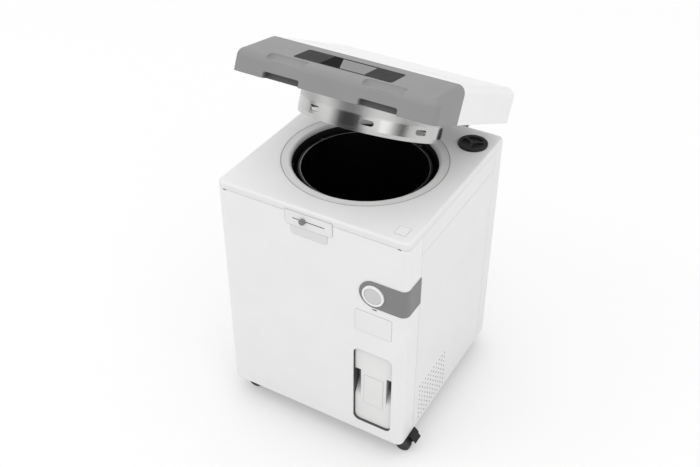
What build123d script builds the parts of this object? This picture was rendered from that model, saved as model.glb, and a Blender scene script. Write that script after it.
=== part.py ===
from build123d import *
import os
from math import cos, degrees, radians, sin, sqrt, tan

# Top-loading laboratory autoclave with a rear-hinged lid, shown with its lid part open.
#
# Millimetres. The origin lies on the chamber's axis at floor level. X points to the right,
# Y to the back and Z up, so the front panel faces -Y.
os.makedirs("parts", exist_ok=True)

# Cabinet
cabinet_width = 610.0
cabinet_depth = 624.0
cabinet_corner = 20.0
floor_gap = 58.0
panel_height = 740.0
sheet = 1.5
cover_seam = 1.0
cover_height = 21.0
cover_wall = 3.0
cover_edge_radius = 8.0
fit = 0.3
side_panel_front = -231.0
side_panel_rear = 246.0
side_panel_top = 735.0
panel_seam = 1.0
pan_flange = 12.0
rail_depth = 14.0
wall_fillet = 4.5

# Round opening, collar and locking well
collar_radius = 246.0
collar_thickness = 5.0
collar_drop = 1.2
collar_lip_radius = 9.0
well_radius = 214.5
well_wall = 3.0
well_depth = 84.0

# Pressure vessel
chamber_radius = 189.0
chamber_rim_drop = 27.0
chamber_depth = 560.0
dish_depth = 60.0
vessel_wall = 4.0
neck_wall = 8.0
neck_length = 50.0
flange_width = 18.0
flange_thickness = 6.0
jacket_thickness = 25.0
heater_thickness = 5.5
heater_height = 60.0

# Chamber grid
grid_radius = 178.0
grid_height = 300.0
grid_thickness = 2.0
grid_hole_radius = 9.0
grid_ring_radii = (50.0, 100.0, 150.0)
grid_leg_circle = 122.0
grid_leg_radius = 4.0

# Lid, in the place it has when it is closed
lid_width = 610.0
lid_front = -292.0
lid_rear = 298.0
lid_seam = -130.0
lid_gap = 8.0
lid_height = 104.0
console_angle = 15.5
lid_wall = 3.5
lid_edge_radius = 24.0
lid_front_corner = 30.0
lid_rear_corner = 10.0
lid_open_angle = 26.0
lid_base_thickness = 3.0

# Lid grips
grip_centre = 145.0
notch_width = 112.0
notch_height = 18.5
notch_depth = 22.0
scoop_length = 118.0
scoop_radius = 30.0
scoop_centre_y = -287.0
scoop_centre_z = 906.0

# Rear cover grooves
groove_count = 9
groove_pitch = 19.0
groove_first = 110.0
groove_length = 36.0
groove_width = 5.0
groove_depth = 1.2
groove_centre_y = 16.0
arm_slot_height = 42.0

# Display
display_width = 296.0
display_length = 86.0
display_corner = 8.0
display_rear = -163.5
display_thickness = 1.8
display_proud = 0.4
screen_width = 131.0
screen_border = 3.0

# Lock ring under the lid
ring_radius = 209.3
ring_wall = 4.0
ring_drop = 71.0
ring_taper = 1.5
ring_taper_height = 11.0
slot_count = 8
slot_first_angle = 22.5
slot_length = 40.0
slot_width = 15.0
slot_drop = 42.6

# Pressure lid
pressure_lid_clearance = 2.3
pressure_lid_thickness = 15.0
gasket_height = 3.7
gasket_width = 7.5
spindle_radius = 60.0

# Hinge
pivot_y = 380.0
pivot_z = 792.0
hinge_pin_radius = 8.0
running_clearance = 0.05
hinge_boss_radius = 16.0
arm_inner_x = 136.0
arm_thickness = 10.0
arm_gap = 2.0
ear_thickness = 8.0
bracket_plate = 4.0
bracket_bottom = 690.0
bracket_top = 795.0
pin_overhang = 6.0
arm_front_y = 210.0
arm_top_y = 300.0
arm_top_z = 868.0
spring_wire = 8.0
spring_turns = 10
spring_inner_x = 30.0

# Lock pins and cam ring
pin_radius = 5.0
pin_length = 50.0
pin_tip = 212.3
pin_clearance = 0.08
pin_travel = 11.0
boss_radius = 9.0
boss_length = 10.0
peg_radius = 3.0
peg_circle = 245.0
cam_inner = 229.5
cam_outer = 257.0
cam_thickness = 3.0
cam_slot_clearance = 0.45
latch_fork_gap = 0.6
latch_lug_thickness = 3.0
latch_lug_width = 22.0
latch_lug_height = 26.0
head_plate_thickness = 6.0
latch_arm_radius = 285.5
latch_stroke_left = 29.0
latch_stroke_right = 60.0

# Latch on the front tongue
tongue_width = 151.0
tongue_bottom = 758.0
tongue_top = 806.0
tongue_proud = 2.0
tongue_corner = 8.0
latch_slot_length = 103.0
latch_slot_width = 3.4
latch_height = 782.5
latch_rest_x = -17.0
knob_radius = 9.0
knob_thickness = 8.0
knob_gap = 1.5
stem_radius = 1.5
stem_tail_radius = 3.0
striker_width = 117.0
striker_bottom = 728.0
striker_thickness = 1.0

# Corner band and start button
service_x = 204.0
band_bottom = 569.5
band_top = 659.5
band_proud = 2.5
button_height = 613.0
button_radius = 26.5
button_gap = 0.5
bezel_radius = 34.0
bezel_proud = 5.0
bezel_tube = 3.0
bezel_tube_length = 18.0
button_travel = 4.0

# Plates
label_width = 117.0
label_height = 77.0
label_centre_z = 504.5
label_thickness = 0.8
top_label_width = 34.0
top_label_depth = 38.0
top_label_x = 260.0
top_label_y = -263.0
indicator_width = 14.0
indicator_height = 4.0
indicator_x = 207.0
indicator_z = 561.0

# Waste tank and its bay
bay_width = 127.0
bay_height = 296.0
bay_corner = 20.0
bay_centre_z = 244.0
bay_depth = 124.0
tank_gap = 2.0
tank_recess = 9.0
tank_depth = 110.0
grip_width = 19.0
grip_height = 106.0
grip_depth = 26.0
grip_centre_z = 251.0
tank_label_width = 65.0
tank_label_height = 117.0
tank_label_z = 230.0

# Side vents
vent_columns = 10
vent_rows = 8
vent_pitch = 19.0
vent_radius = 3.2
vent_centre_y = -109.5
vent_centre_z = 144.0

# Frame
tray_height = 68.0
tray_thickness = 2.0
tray_flange = 25.0
tray_corner = 4.0
tray_slot_pitch = 130.0
tray_slot_length = 70.0
tray_slot_width = 10.0
post_width = 18.0
post_wall = 2.0
post_x = 279.5
post_y = 298.0

# Casters
caster_x = 273.0
caster_y = 247.0
caster_trail = 20.0
wheel_radius = 25.0
wheel_width = 20.0
wheel_gap = 22.0
wheel_edge = 3.0
wheel_dish = 3.0
axle_radius = 4.0
fork_width = 18.0
fork_boss_radius = 17.0
hood_clearance = 2.0
hood_thickness = 2.5
caster_plate_length = 34.0
caster_plate_width = 78.0
caster_plate_thickness = 2.5
bolt_flats = 10.0
bolt_head = 4.0
pedal_width = 35.0
pedal_pivot_x = 40.0
pedal_pivot_z = 51.8
pedal_pin_radius = 2.0
pedal_lug_width = 9.0
pedal_lug_radius = 3.6
pedal_cheek = 4.0
kingpin_radius = 5.0
kingpin_length = 12.0
fork_boss_bottom = 50.0
hood_end_height = 37.0

# Water side
cap_x = 240.0
cap_y = 222.0
cap_radius = 44.5
cap_height = 7.0
cap_recess_radius = 32.0
cap_recess_depth = 5.0
cap_spoke_width = 9.0
cap_hub_radius = 9.0
neck_outer = 33.0
neck_tube_wall = 3.5
plug_radius = 28.0
plug_length = 16.0
reservoir_top = 735.0
reservoir_bottom = 430.0
reservoir_wall = 3.0
reservoir_inner = 118.0
reservoir_outer_x = 290.0
reservoir_outer_y = 286.0
reservoir_gap = 4.0
neck_shoulder = 42.0
pipe_radius = 6.5
pipe_wall = 1.5
drain_height = 130.0
drain_bend = 30.0
drain_valve_y = 170.0
drain_valve_length = 60.0
drain_valve_width = 36.0
solenoid_radius = 15.0
solenoid_height = 42.0
spigot_length = 26.0
spigot_sleeve = 22.0
spigot_radius = 8.0
safety_angle = 135.0
safety_height = 655.0
safety_circle = 250.0
safety_flats = 26.0
safety_body = 50.0
safety_stem_radius = 8.0
safety_stem = 22.0

# Electrical
control_width = 130.0
control_depth = 85.0
control_height = 300.0
control_x = -203.0
control_front = -306.0
gland_x = -200.0
gland_height = 150.0
gland_radius = 12.0
gland_flats = 30.0
gland_nut = 6.0
gland_length = 34.0
gland_cable_radius = 4.0

# Places that follow from the sizes above
half_width = cabinet_width / 2
half_depth = cabinet_depth / 2
panel_top = floor_gap + panel_height
cover_bottom = panel_top + cover_seam
cover_top = cover_bottom + cover_height
rim_top = cover_top - chamber_rim_drop
chamber_floor = rim_top - chamber_depth
vessel_radius = chamber_radius + vessel_wall
neck_radius = chamber_radius + neck_wall
well_floor_top = cover_top - well_depth
well_floor_bottom = well_floor_top - well_wall
well_outer = well_radius + well_wall
lid_base_z = cover_top + lid_gap
lid_top = lid_base_z + lid_height
slot_z = cover_top - slot_drop
cam_z = slot_z - boss_radius - fit - cam_thickness
head_top = cam_z - fit
head_bottom = head_top - head_plate_thickness
inner_half_width = half_width - sheet
inner_half_depth = half_depth - sheet
slot_angles = [slot_first_angle + 360 / slot_count * index for index in range(slot_count)]
bay_front = -inner_half_depth
bay_left = service_x - bay_width / 2
jacket_inner = vessel_radius + heater_thickness + 2 * fit
jacket_outer = jacket_inner + jacket_thickness
cam_ratio = pin_travel / (latch_stroke_left + latch_stroke_right)

# The front and the right side as sketch planes: local x and y are world X or Y, and Z
front_face = Plane.XZ.offset(half_depth)
rear_face = Plane.XZ.offset(-half_depth)
right_face = Plane.YZ.offset(half_width)

# The open lid: a plane of the closed lid is turned about the hinge
pivot = Location((0, pivot_y, pivot_z))
lid_turn = pivot * Location((0, 0, 0), (1, 0, 0), -lid_open_angle) * pivot.inverse()


def on_lid(closed_plane):
    """A plane of the closed lid, carried to where the open lid has it."""
    return Plane(lid_turn * closed_plane.location)


lid_up = Axis(on_lid(Plane.XY).origin, on_lid(Plane.XY).z_dir)
lid_back = Axis(on_lid(Plane.XY).origin, on_lid(Plane.XY).y_dir)

pieces = {}


def radial_plane(angle, radius, height):
    """A plane square to a radius of the chamber, facing outwards."""
    outward = (cos(radians(angle)), sin(radians(angle)), 0)
    return Plane(
        origin=(radius * outward[0], radius * outward[1], height),
        x_dir=(-outward[1], outward[0], 0),
        z_dir=outward,
    )


def wrap_panel(rear_edge=None, front_edge=None):
    """Sheet that wraps the cabinet's corners, kept before or behind a side seam."""
    with BuildPart() as wrap:
        with BuildSketch(Plane.XY.offset(floor_gap)):
            RectangleRounded(cabinet_width, cabinet_depth, cabinet_corner)
            RectangleRounded(
                cabinet_width - 2 * sheet,
                cabinet_depth - 2 * sheet,
                cabinet_corner - sheet,
                mode=Mode.SUBTRACT,
            )
            kept_from = -half_depth if front_edge is None else front_edge
            kept_to = half_depth if rear_edge is None else rear_edge
            with Locations((0, (kept_from + kept_to) / 2)):
                Rectangle(cabinet_width, kept_to - kept_from, mode=Mode.INTERSECT)
        extrude(amount=panel_height)
    return wrap.part


# Top cover with the latch tongue in front
with BuildPart() as top_cover:
    with BuildSketch(Plane.XY.offset(cover_bottom)):
        RectangleRounded(cabinet_width, cabinet_depth, cabinet_corner)
    extrude(amount=cover_height)
    fillet(top_cover.faces().sort_by(Axis.Z)[-1].edges(), cover_edge_radius)
    with BuildSketch(Plane.XY.offset(cover_bottom)):
        RectangleRounded(
            cabinet_width - 2 * cover_wall,
            cabinet_depth - 2 * cover_wall,
            cabinet_corner - cover_wall,
        )
    extrude(amount=cover_height - cover_wall, mode=Mode.SUBTRACT)
    ceiling = top_cover.faces().filter_by(Axis.Z).sort_by(Axis.Z)[-2]
    fillet(ceiling.edges(), wall_fillet)
    with BuildSketch(Plane.XY.offset(cover_top)):
        Circle(collar_radius)
        with Locations((cap_x, cap_y)):
            Circle(neck_outer + fit)
    extrude(amount=-cover_height, mode=Mode.SUBTRACT)
    with BuildSketch(front_face) as tongue:
        with Locations((0, (tongue_bottom + tongue_top) / 2)):
            Rectangle(tongue_width, tongue_top - tongue_bottom)
        fillet(tongue.vertices().group_by(Axis.Y)[0], tongue_corner)
    extrude(amount=tongue_proud)
    with BuildSketch(front_face):
        with Locations((0, latch_height)):
            SlotOverall(latch_slot_length, latch_slot_width)
    extrude(amount=tongue_proud, mode=Mode.SUBTRACT)
pieces["top_cover"] = top_cover.part

# Front panel with the bay opening and the holes for latch, button and indicator
front_wrap = wrap_panel(rear_edge=side_panel_front - panel_seam)
with BuildPart() as front_panel:
    add(front_wrap)
    with BuildSketch(front_face):
        with Locations((service_x, bay_centre_z)):
            RectangleRounded(bay_width, bay_height, bay_corner)
        with Locations((0, latch_height)):
            SlotOverall(latch_slot_length + latch_slot_width, 2 * latch_slot_width)
        with Locations((service_x, button_height)):
            Circle(button_radius + button_gap + bezel_tube + fit)
        with Locations((indicator_x, indicator_z)):
            Rectangle(indicator_width, indicator_height)
    extrude(amount=-2 * sheet, mode=Mode.SUBTRACT)
pieces["front_panel"] = front_panel.part

# Rear panel with the holes for the drain and the cable gland
rear_wrap = wrap_panel(front_edge=side_panel_rear + panel_seam)
with BuildPart() as rear_panel:
    add(rear_wrap)
    with BuildSketch(rear_face):
        with Locations((0, drain_height)):
            Circle(pipe_radius + fit)
        with Locations((gland_x, gland_height)):
            Circle(gland_radius + fit)
    extrude(amount=2 * sheet, mode=Mode.SUBTRACT)
pieces["rear_panel"] = rear_panel.part


def side_panel(side, vented):
    """Side panel: a shallow pan with folded edges, vented low down on the right."""
    height = side_panel_top - floor_gap
    length = side_panel_rear - side_panel_front
    centre = ((side_panel_front + side_panel_rear) / 2, floor_gap + height / 2)
    skin = Plane.YZ.offset(side * inner_half_width)
    with BuildPart() as panel:
        with BuildSketch(skin):
            with Locations(centre):
                Rectangle(length, height)
        extrude(amount=side * sheet)
        with BuildSketch(skin):
            with Locations(centre):
                Rectangle(length, height)
                Rectangle(length - 2 * sheet, height - 2 * sheet, mode=Mode.SUBTRACT)
        extrude(amount=-side * pan_flange)
        if vented:
            with BuildSketch(skin):
                with Locations((vent_centre_y, vent_centre_z)):
                    with GridLocations(vent_pitch, vent_pitch, vent_columns, vent_rows):
                        Circle(vent_radius)
            extrude(amount=side * sheet, mode=Mode.SUBTRACT)
    return panel.part


pieces["right_side_panel"] = side_panel(1, vented=True)
pieces["left_side_panel"] = side_panel(-1, vented=False)

# Side rails: channels that close the sides above the panels
with BuildPart() as side_rails:
    rail_bottom = side_panel_top + panel_seam
    rail_height = panel_top - rail_bottom
    with BuildSketch(Plane.XZ.offset(-side_panel_rear)):
        for side in (-1, 1):
            with Locations((side * (half_width - rail_depth / 2), rail_bottom + rail_height / 2)):
                Rectangle(rail_depth, rail_height)
            with Locations((side * (inner_half_width - rail_depth / 2), rail_bottom + rail_height / 2)):
                Rectangle(rail_depth, rail_height - 2 * sheet, mode=Mode.SUBTRACT)
    extrude(amount=side_panel_rear - side_panel_front)
pieces["side_rails"] = side_rails.part

# Base frame: a tray with a turned-up edge, and four box posts up to the head plate
with BuildPart() as base_frame:
    tray_width = 2 * (inner_half_width - pan_flange - 2 * fit)
    tray_length = 2 * (inner_half_depth - fit)
    with BuildSketch(Plane.XY.offset(tray_height)):
        RectangleRounded(tray_width, tray_length, tray_corner)
    extrude(amount=tray_flange)
    with BuildSketch(Plane.XY.offset(tray_height + tray_thickness)):
        RectangleRounded(
            tray_width - 2 * tray_thickness,
            tray_length - 2 * tray_thickness,
            tray_corner - tray_thickness,
        )
    extrude(amount=tray_flange, mode=Mode.SUBTRACT)
    with BuildSketch(Plane.XY.offset(tray_height)):
        with GridLocations(tray_slot_pitch, tray_slot_pitch, 3, 3):
            SlotOverall(tray_slot_length, tray_slot_width)
    extrude(amount=tray_thickness, mode=Mode.SUBTRACT)
    with BuildSketch(Plane.XY.offset(tray_height + tray_thickness)):
        with GridLocations(2 * post_x, 2 * post_y, 2, 2):
            Rectangle(post_width, post_width)
            Rectangle(post_width - 2 * post_wall, post_width - 2 * post_wall, mode=Mode.SUBTRACT)
    extrude(amount=head_bottom - tray_height - tray_thickness)
pieces["base_frame"] = base_frame.part

# Head plate: carries the vessel, and holds the well that the lid's ring drops into
wall_top = cover_top - collar_thickness - collar_lip_radius - fit
with BuildPart() as head_plate:
    with BuildSketch(Plane.XY.offset(head_bottom)):
        RectangleRounded(
            2 * (inner_half_width - fit),
            2 * (inner_half_depth - fit),
            cabinet_corner - sheet,
        )
        Circle(well_radius + well_wall / 2, mode=Mode.SUBTRACT)
        with Locations((cap_x, cap_y)):
            Circle(neck_outer + fit, mode=Mode.SUBTRACT)
    extrude(amount=head_plate_thickness)
    with BuildSketch(Plane.XZ):
        with BuildLine():
            Polyline(
                (neck_radius + fit, well_floor_bottom),
                (well_outer, well_floor_bottom),
                (well_outer, wall_top),
                (well_radius, wall_top),
                (well_radius, well_floor_top),
                (neck_radius + fit, well_floor_top),
                close=True,
            )
        make_face()
    revolve(axis=Axis.Z)
    for angle in slot_angles:
        with BuildSketch(radial_plane(angle, well_radius + well_wall / 2, slot_z)):
            Circle(boss_radius)
        extrude(amount=well_wall / 2 + boss_length)
        with BuildSketch(radial_plane(angle, well_radius - well_wall, slot_z)):
            Circle(pin_radius + pin_clearance)
        extrude(amount=3 * well_wall + boss_length, mode=Mode.SUBTRACT)
pieces["head_plate"] = head_plate.part

# Collar: the moulded ring round the chamber's mouth
with BuildPart() as collar_ring:
    collar_outer = collar_radius - fit
    lip_top = cover_top - collar_drop
    lip_bottom = wall_top + fit
    with BuildSketch(Plane.XZ):
        with BuildLine():
            Polyline(
                (well_radius, lip_top - collar_lip_radius),
                (well_radius, lip_bottom),
                (well_outer, lip_bottom),
                (well_outer + collar_lip_radius, cover_top - collar_thickness),
                (collar_outer, cover_top - collar_thickness),
                (collar_outer, cover_top),
                (well_radius + 2 * collar_lip_radius, lip_top),
                (well_radius + collar_lip_radius, lip_top),
            )
            RadiusArc(
                (well_radius, lip_top - collar_lip_radius),
                (well_radius + collar_lip_radius, lip_top),
                collar_lip_radius,
            )
        make_face()
    revolve(axis=Axis.Z)
pieces["collar_ring"] = collar_ring.part

# Pressure vessel: neck, support flange, shell and dished bottom
with BuildPart() as pressure_vessel:
    dish_radius = (chamber_radius**2 + dish_depth**2) / (2 * dish_depth)
    dish_centre = chamber_floor + dish_radius
    outer_dish_end = dish_centre - sqrt((dish_radius + vessel_wall) ** 2 - vessel_radius**2)
    with BuildSketch(Plane.XZ):
        with BuildLine():
            Polyline(
                (chamber_radius, chamber_floor + dish_depth),
                (chamber_radius, rim_top),
                (neck_radius, rim_top),
                (neck_radius, well_floor_bottom),
                (neck_radius + flange_width, well_floor_bottom),
                (neck_radius + flange_width, well_floor_bottom - flange_thickness),
                (vessel_radius, well_floor_bottom - flange_thickness),
                (vessel_radius, outer_dish_end),
            )
            TangentArc(
                (0, chamber_floor - vessel_wall), (vessel_radius, outer_dish_end), tangent=(1, 0)
            )
            Line((0, chamber_floor - vessel_wall), (0, chamber_floor))
            TangentArc(
                (0, chamber_floor), (chamber_radius, chamber_floor + dish_depth), tangent=(1, 0)
            )
        make_face()
    revolve(axis=Axis.Z)
    with BuildSketch(Plane.XY.offset(chamber_floor + vessel_wall)):
        Circle(pipe_radius - pipe_wall)
    extrude(amount=-3 * vessel_wall, mode=Mode.SUBTRACT)
pieces["pressure_vessel"] = pressure_vessel.part

# Band heater round the vessel's foot
with BuildPart() as band_heater:
    heater_bottom = chamber_floor + dish_depth
    with BuildSketch(Plane.XY.offset(heater_bottom)):
        Circle(vessel_radius + fit + heater_thickness)
        Circle(vessel_radius + fit, mode=Mode.SUBTRACT)
    extrude(amount=heater_height)
pieces["band_heater"] = band_heater.part

# Insulation jacket
with BuildPart() as insulation_jacket:
    jacket_top = well_floor_bottom - flange_thickness - fit
    with BuildSketch(Plane.XY.offset(chamber_floor)):
        Circle(jacket_outer)
        Circle(jacket_inner, mode=Mode.SUBTRACT)
    extrude(amount=jacket_top - chamber_floor)
    with BuildSketch(radial_plane(safety_angle, vessel_radius, safety_height)):
        Circle(pipe_radius + fit)
    extrude(amount=2 * jacket_thickness, mode=Mode.SUBTRACT)
pieces["insulation_jacket"] = insulation_jacket.part

# Perforated grid that the load stands on
with BuildPart() as chamber_grid:
    with BuildSketch(Plane.XY.offset(grid_height)):
        Circle(grid_radius)
        Circle(grid_hole_radius, mode=Mode.SUBTRACT)
        for ring, ring_radius_now in enumerate(grid_ring_radii):
            with PolarLocations(ring_radius_now, 6 * (ring + 1), start_angle=15 * ring):
                Circle(grid_hole_radius, mode=Mode.SUBTRACT)
    extrude(amount=grid_thickness)
    leg_reach = grid_leg_circle + grid_leg_radius
    leg_foot = dish_centre - sqrt(dish_radius**2 - leg_reach**2) + fit
    with BuildSketch(Plane.XY.offset(leg_foot)):
        with PolarLocations(grid_leg_circle, 3, start_angle=90):
            Circle(grid_leg_radius)
    extrude(amount=grid_height - leg_foot)
pieces["chamber_grid"] = chamber_grid.part

# Cam ring: turned by the latch, its curved slots drive the lock pins
with BuildPart() as cam_ring:
    latch_angle = -90 + degrees(latch_rest_x / latch_arm_radius)
    arm_plane = radial_plane(latch_angle, latch_arm_radius - latch_lug_thickness / 2, cam_z)
    with BuildSketch(Plane.XY.offset(cam_z)):
        Circle(cam_outer)
        Circle(cam_inner, mode=Mode.SUBTRACT)
        for angle in slot_angles:
            track = []
            for latch_travel in (-latch_stroke_left, 15.0, latch_stroke_right):
                cam_turn = latch_travel / latch_arm_radius
                track_radius = peg_circle - cam_ratio * latch_travel
                track_angle = radians(angle) - cam_turn
                track.append((track_radius * cos(track_angle), track_radius * sin(track_angle)))
            SlotArc(
                ThreePointArc(*track, mode=Mode.PRIVATE),
                2 * (peg_radius + cam_slot_clearance),
                mode=Mode.SUBTRACT,
            )
    extrude(amount=cam_thickness)
    with BuildSketch(arm_plane):
        with Locations((0, cam_thickness / 2)):
            Rectangle(latch_lug_width, cam_thickness)
    extrude(amount=-(latch_arm_radius - cam_outer))
    with BuildSketch(arm_plane):
        with Locations((0, latch_lug_height / 2)):
            Rectangle(latch_lug_width, latch_lug_height)
        with Locations((0, latch_height - cam_z + latch_lug_height / 2)):
            fork_width_here = 2 * (stem_tail_radius + latch_fork_gap)
            Rectangle(fork_width_here, latch_lug_height + fork_width_here, mode=Mode.SUBTRACT)
    extrude(amount=latch_lug_thickness)
pieces["cam_ring"] = cam_ring.part

# Lock pins that the cam ring pushes through the slots of the lid's ring
for index, angle in enumerate(slot_angles, start=1):
    with BuildPart() as lock_pin:
        with BuildSketch(radial_plane(angle, pin_tip, slot_z)):
            Circle(pin_radius)
        extrude(amount=pin_length)
        chamfer(lock_pin.edges().filter_by(GeomType.CIRCLE), pin_radius / 5)
        peg_x = peg_circle * cos(radians(angle))
        peg_y = peg_circle * sin(radians(angle))
        with BuildSketch(Plane.XY.offset(cam_z + fit)):
            with Locations((peg_x, peg_y)):
                Circle(peg_radius)
        extrude(amount=slot_z - cam_z - fit)
    pieces[f"lock_pin_{index}"] = lock_pin.part

# Latch knob: a turned knob whose stem runs through the slot to the cam ring
with BuildPart() as latch_knob:
    knob_back = half_depth + tongue_proud + knob_gap
    with BuildSketch(Plane.XZ.offset(knob_back)):
        with Locations((latch_rest_x, latch_height)):
            Circle(knob_radius)
    extrude(amount=knob_thickness)
    fillet(latch_knob.faces().sort_by(Axis.Y)[0].edges(), knob_radius / 9)
    with BuildSketch(Plane.XZ.offset(knob_back)):
        with Locations((latch_rest_x, latch_height)):
            Circle(stem_radius)
    extrude(amount=-(knob_back - inner_half_depth + sheet))
    with BuildSketch(Plane.XZ.offset(inner_half_depth - sheet)):
        with Locations((latch_rest_x, latch_height)):
            Circle(stem_tail_radius)
    extrude(amount=-(inner_half_depth - latch_arm_radius + 2 * latch_lug_thickness))
pieces["latch_knob"] = latch_knob.part

# Striker plate below the tongue
with BuildPart() as striker_plate:
    with BuildSketch(front_face) as striker:
        with Locations((0, (striker_bottom + tongue_bottom) / 2)):
            Rectangle(striker_width, tongue_bottom - striker_bottom)
        fillet(striker.vertices().group_by(Axis.Y)[0], tongue_corner)
    extrude(amount=striker_thickness)
pieces["striker_plate"] = striker_plate.part

# Grey band that wraps the front right corner
with BuildPart() as corner_band:
    with BuildSketch(Plane.XY.offset(band_bottom)):
        RectangleRounded(
            cabinet_width + 2 * band_proud,
            cabinet_depth + 2 * band_proud,
            cabinet_corner + band_proud,
        )
        RectangleRounded(cabinet_width, cabinet_depth, cabinet_corner, mode=Mode.SUBTRACT)
        band_left = service_x - (band_top - band_bottom) / 2
        band_right = half_width + band_proud
        band_front = -half_depth - band_proud
        with Locations(((band_left + band_right) / 2, (band_front + side_panel_front) / 2)):
            Rectangle(band_right - band_left, side_panel_front - band_front, mode=Mode.INTERSECT)
    extrude(amount=band_top - band_bottom)
    with BuildSketch(Plane.XZ.offset(half_depth - cabinet_corner)):
        with Locations((service_x, (band_bottom + band_top) / 2)):
            Rectangle(band_top - band_bottom, band_top - band_bottom, align=(Align.MAX, Align.CENTER))
            Circle((band_top - band_bottom) / 2, mode=Mode.SUBTRACT)
        with Locations((service_x, button_height)):
            Circle(button_radius + button_gap + bezel_tube + fit)
    extrude(amount=2 * cabinet_corner, mode=Mode.SUBTRACT)
pieces["corner_band"] = corner_band.part

# Button housing: bezel ring, tube and floor in one moulding
with BuildPart() as button_bezel:
    bezel_front = half_depth + band_proud + bezel_proud
    bezel_inner = button_radius + button_gap
    with BuildSketch(Plane.XZ.offset(half_depth + band_proud)):
        with Locations((service_x, button_height)):
            Circle(bezel_radius)
    extrude(amount=bezel_proud)
    fillet(button_bezel.faces().sort_by(Axis.Y)[0].edges(), bezel_proud / 4)
    with BuildSketch(Plane.XZ.offset(half_depth + band_proud)):
        with Locations((service_x, button_height)):
            Circle(bezel_inner + bezel_tube)
    extrude(amount=-bezel_tube_length)
    with BuildSketch(Plane.XZ.offset(bezel_front)):
        with Locations((service_x, button_height)):
            Circle(bezel_inner)
    extrude(amount=-(bezel_proud + bezel_tube_length - bezel_tube), mode=Mode.SUBTRACT)
pieces["button_bezel"] = button_bezel.part

# Start button
with BuildPart() as start_button:
    button_front = bezel_front - bezel_proud / 4
    with BuildSketch(Plane.XZ.offset(button_front)):
        with Locations((service_x, button_height)):
            Circle(button_radius)
    button_depth = bezel_proud + bezel_tube_length - bezel_tube - button_travel - 1.0
    extrude(amount=-(button_depth - bezel_proud / 4))
    fillet(start_button.faces().sort_by(Axis.Y)[0].edges(), 1.0)
pieces["start_button"] = start_button.part

# Indicator lens
with BuildPart() as indicator_lens:
    with BuildSketch(Plane.XZ.offset(inner_half_depth - sheet)):
        with Locations((indicator_x, indicator_z)):
            Rectangle(indicator_width - fit, indicator_height - fit)
    extrude(amount=2 * sheet + fit)
pieces["indicator_lens"] = indicator_lens.part

# Bare plates on the front panel and on the top cover
with BuildPart() as label_plates:
    with BuildSketch(front_face):
        with Locations((service_x, label_centre_z)):
            RectangleRounded(label_width, label_height, tongue_corner / 2)
    extrude(amount=label_thickness)
    with BuildSketch(Plane.XY.offset(cover_top)):
        with Locations((top_label_x, top_label_y)):
            RectangleRounded(top_label_width, top_label_depth, tongue_corner / 4)
    extrude(amount=label_thickness)
pieces["label_plates"] = label_plates.part

# Bay behind the front opening
with BuildPart() as tank_bay:
    bay_plane = Plane.XZ.offset(inner_half_depth)
    with BuildSketch(bay_plane):
        with Locations((service_x, bay_centre_z)):
            RectangleRounded(bay_width + 2 * sheet, bay_height + 2 * sheet, bay_corner + sheet)
    extrude(amount=-(bay_depth + sheet))
    with BuildSketch(bay_plane):
        with Locations((service_x, bay_centre_z)):
            RectangleRounded(bay_width, bay_height, bay_corner)
    extrude(amount=-bay_depth, mode=Mode.SUBTRACT)
pieces["tank_bay"] = tank_bay.part

# Waste tank with two hand pockets
with BuildPart() as waste_tank:
    tank_face = Plane.XZ.offset(half_depth - tank_recess)
    tank_width = bay_width - 2 * tank_gap
    tank_height = bay_height - 2 * tank_gap
    with BuildSketch(tank_face):
        with Locations((service_x, bay_centre_z)):
            RectangleRounded(tank_width, tank_height, bay_corner - tank_gap)
    extrude(amount=-tank_depth)
    for side in (-1, 1):
        pocket_outer = service_x + side * (tank_width / 2 + 1)
        with BuildSketch(Plane.YZ.offset(pocket_outer)):
            with BuildLine():
                Polyline(
                    (-half_depth + tank_recess - 1, grip_centre_z - grip_height / 2 - 4),
                    (-half_depth + tank_recess - 1, grip_centre_z + grip_height / 2),
                    (-half_depth + tank_recess + grip_depth, grip_centre_z + grip_height / 2),
                    (-half_depth + tank_recess + grip_depth, grip_centre_z),
                    close=True,
                )
            make_face()
        extrude(amount=-side * (grip_width + 1), mode=Mode.SUBTRACT)
    with BuildSketch(tank_face):
        with Locations((service_x, tank_label_z)):
            RectangleRounded(tank_label_width, tank_label_height, tongue_corner / 4)
    extrude(amount=label_thickness / 2)
    with BuildSketch(Plane.XY.offset(bay_centre_z - bay_height / 2 + fit)):
        runner_y = -half_depth + tank_recess + tank_depth / 2
        with Locations((service_x, runner_y)):
            with GridLocations(tank_width / 2, 0, 2, 1):
                Rectangle(tank_gap, tank_depth - 2 * tank_recess)
    extrude(amount=tank_gap)
pieces["waste_tank"] = waste_tank.part

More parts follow.
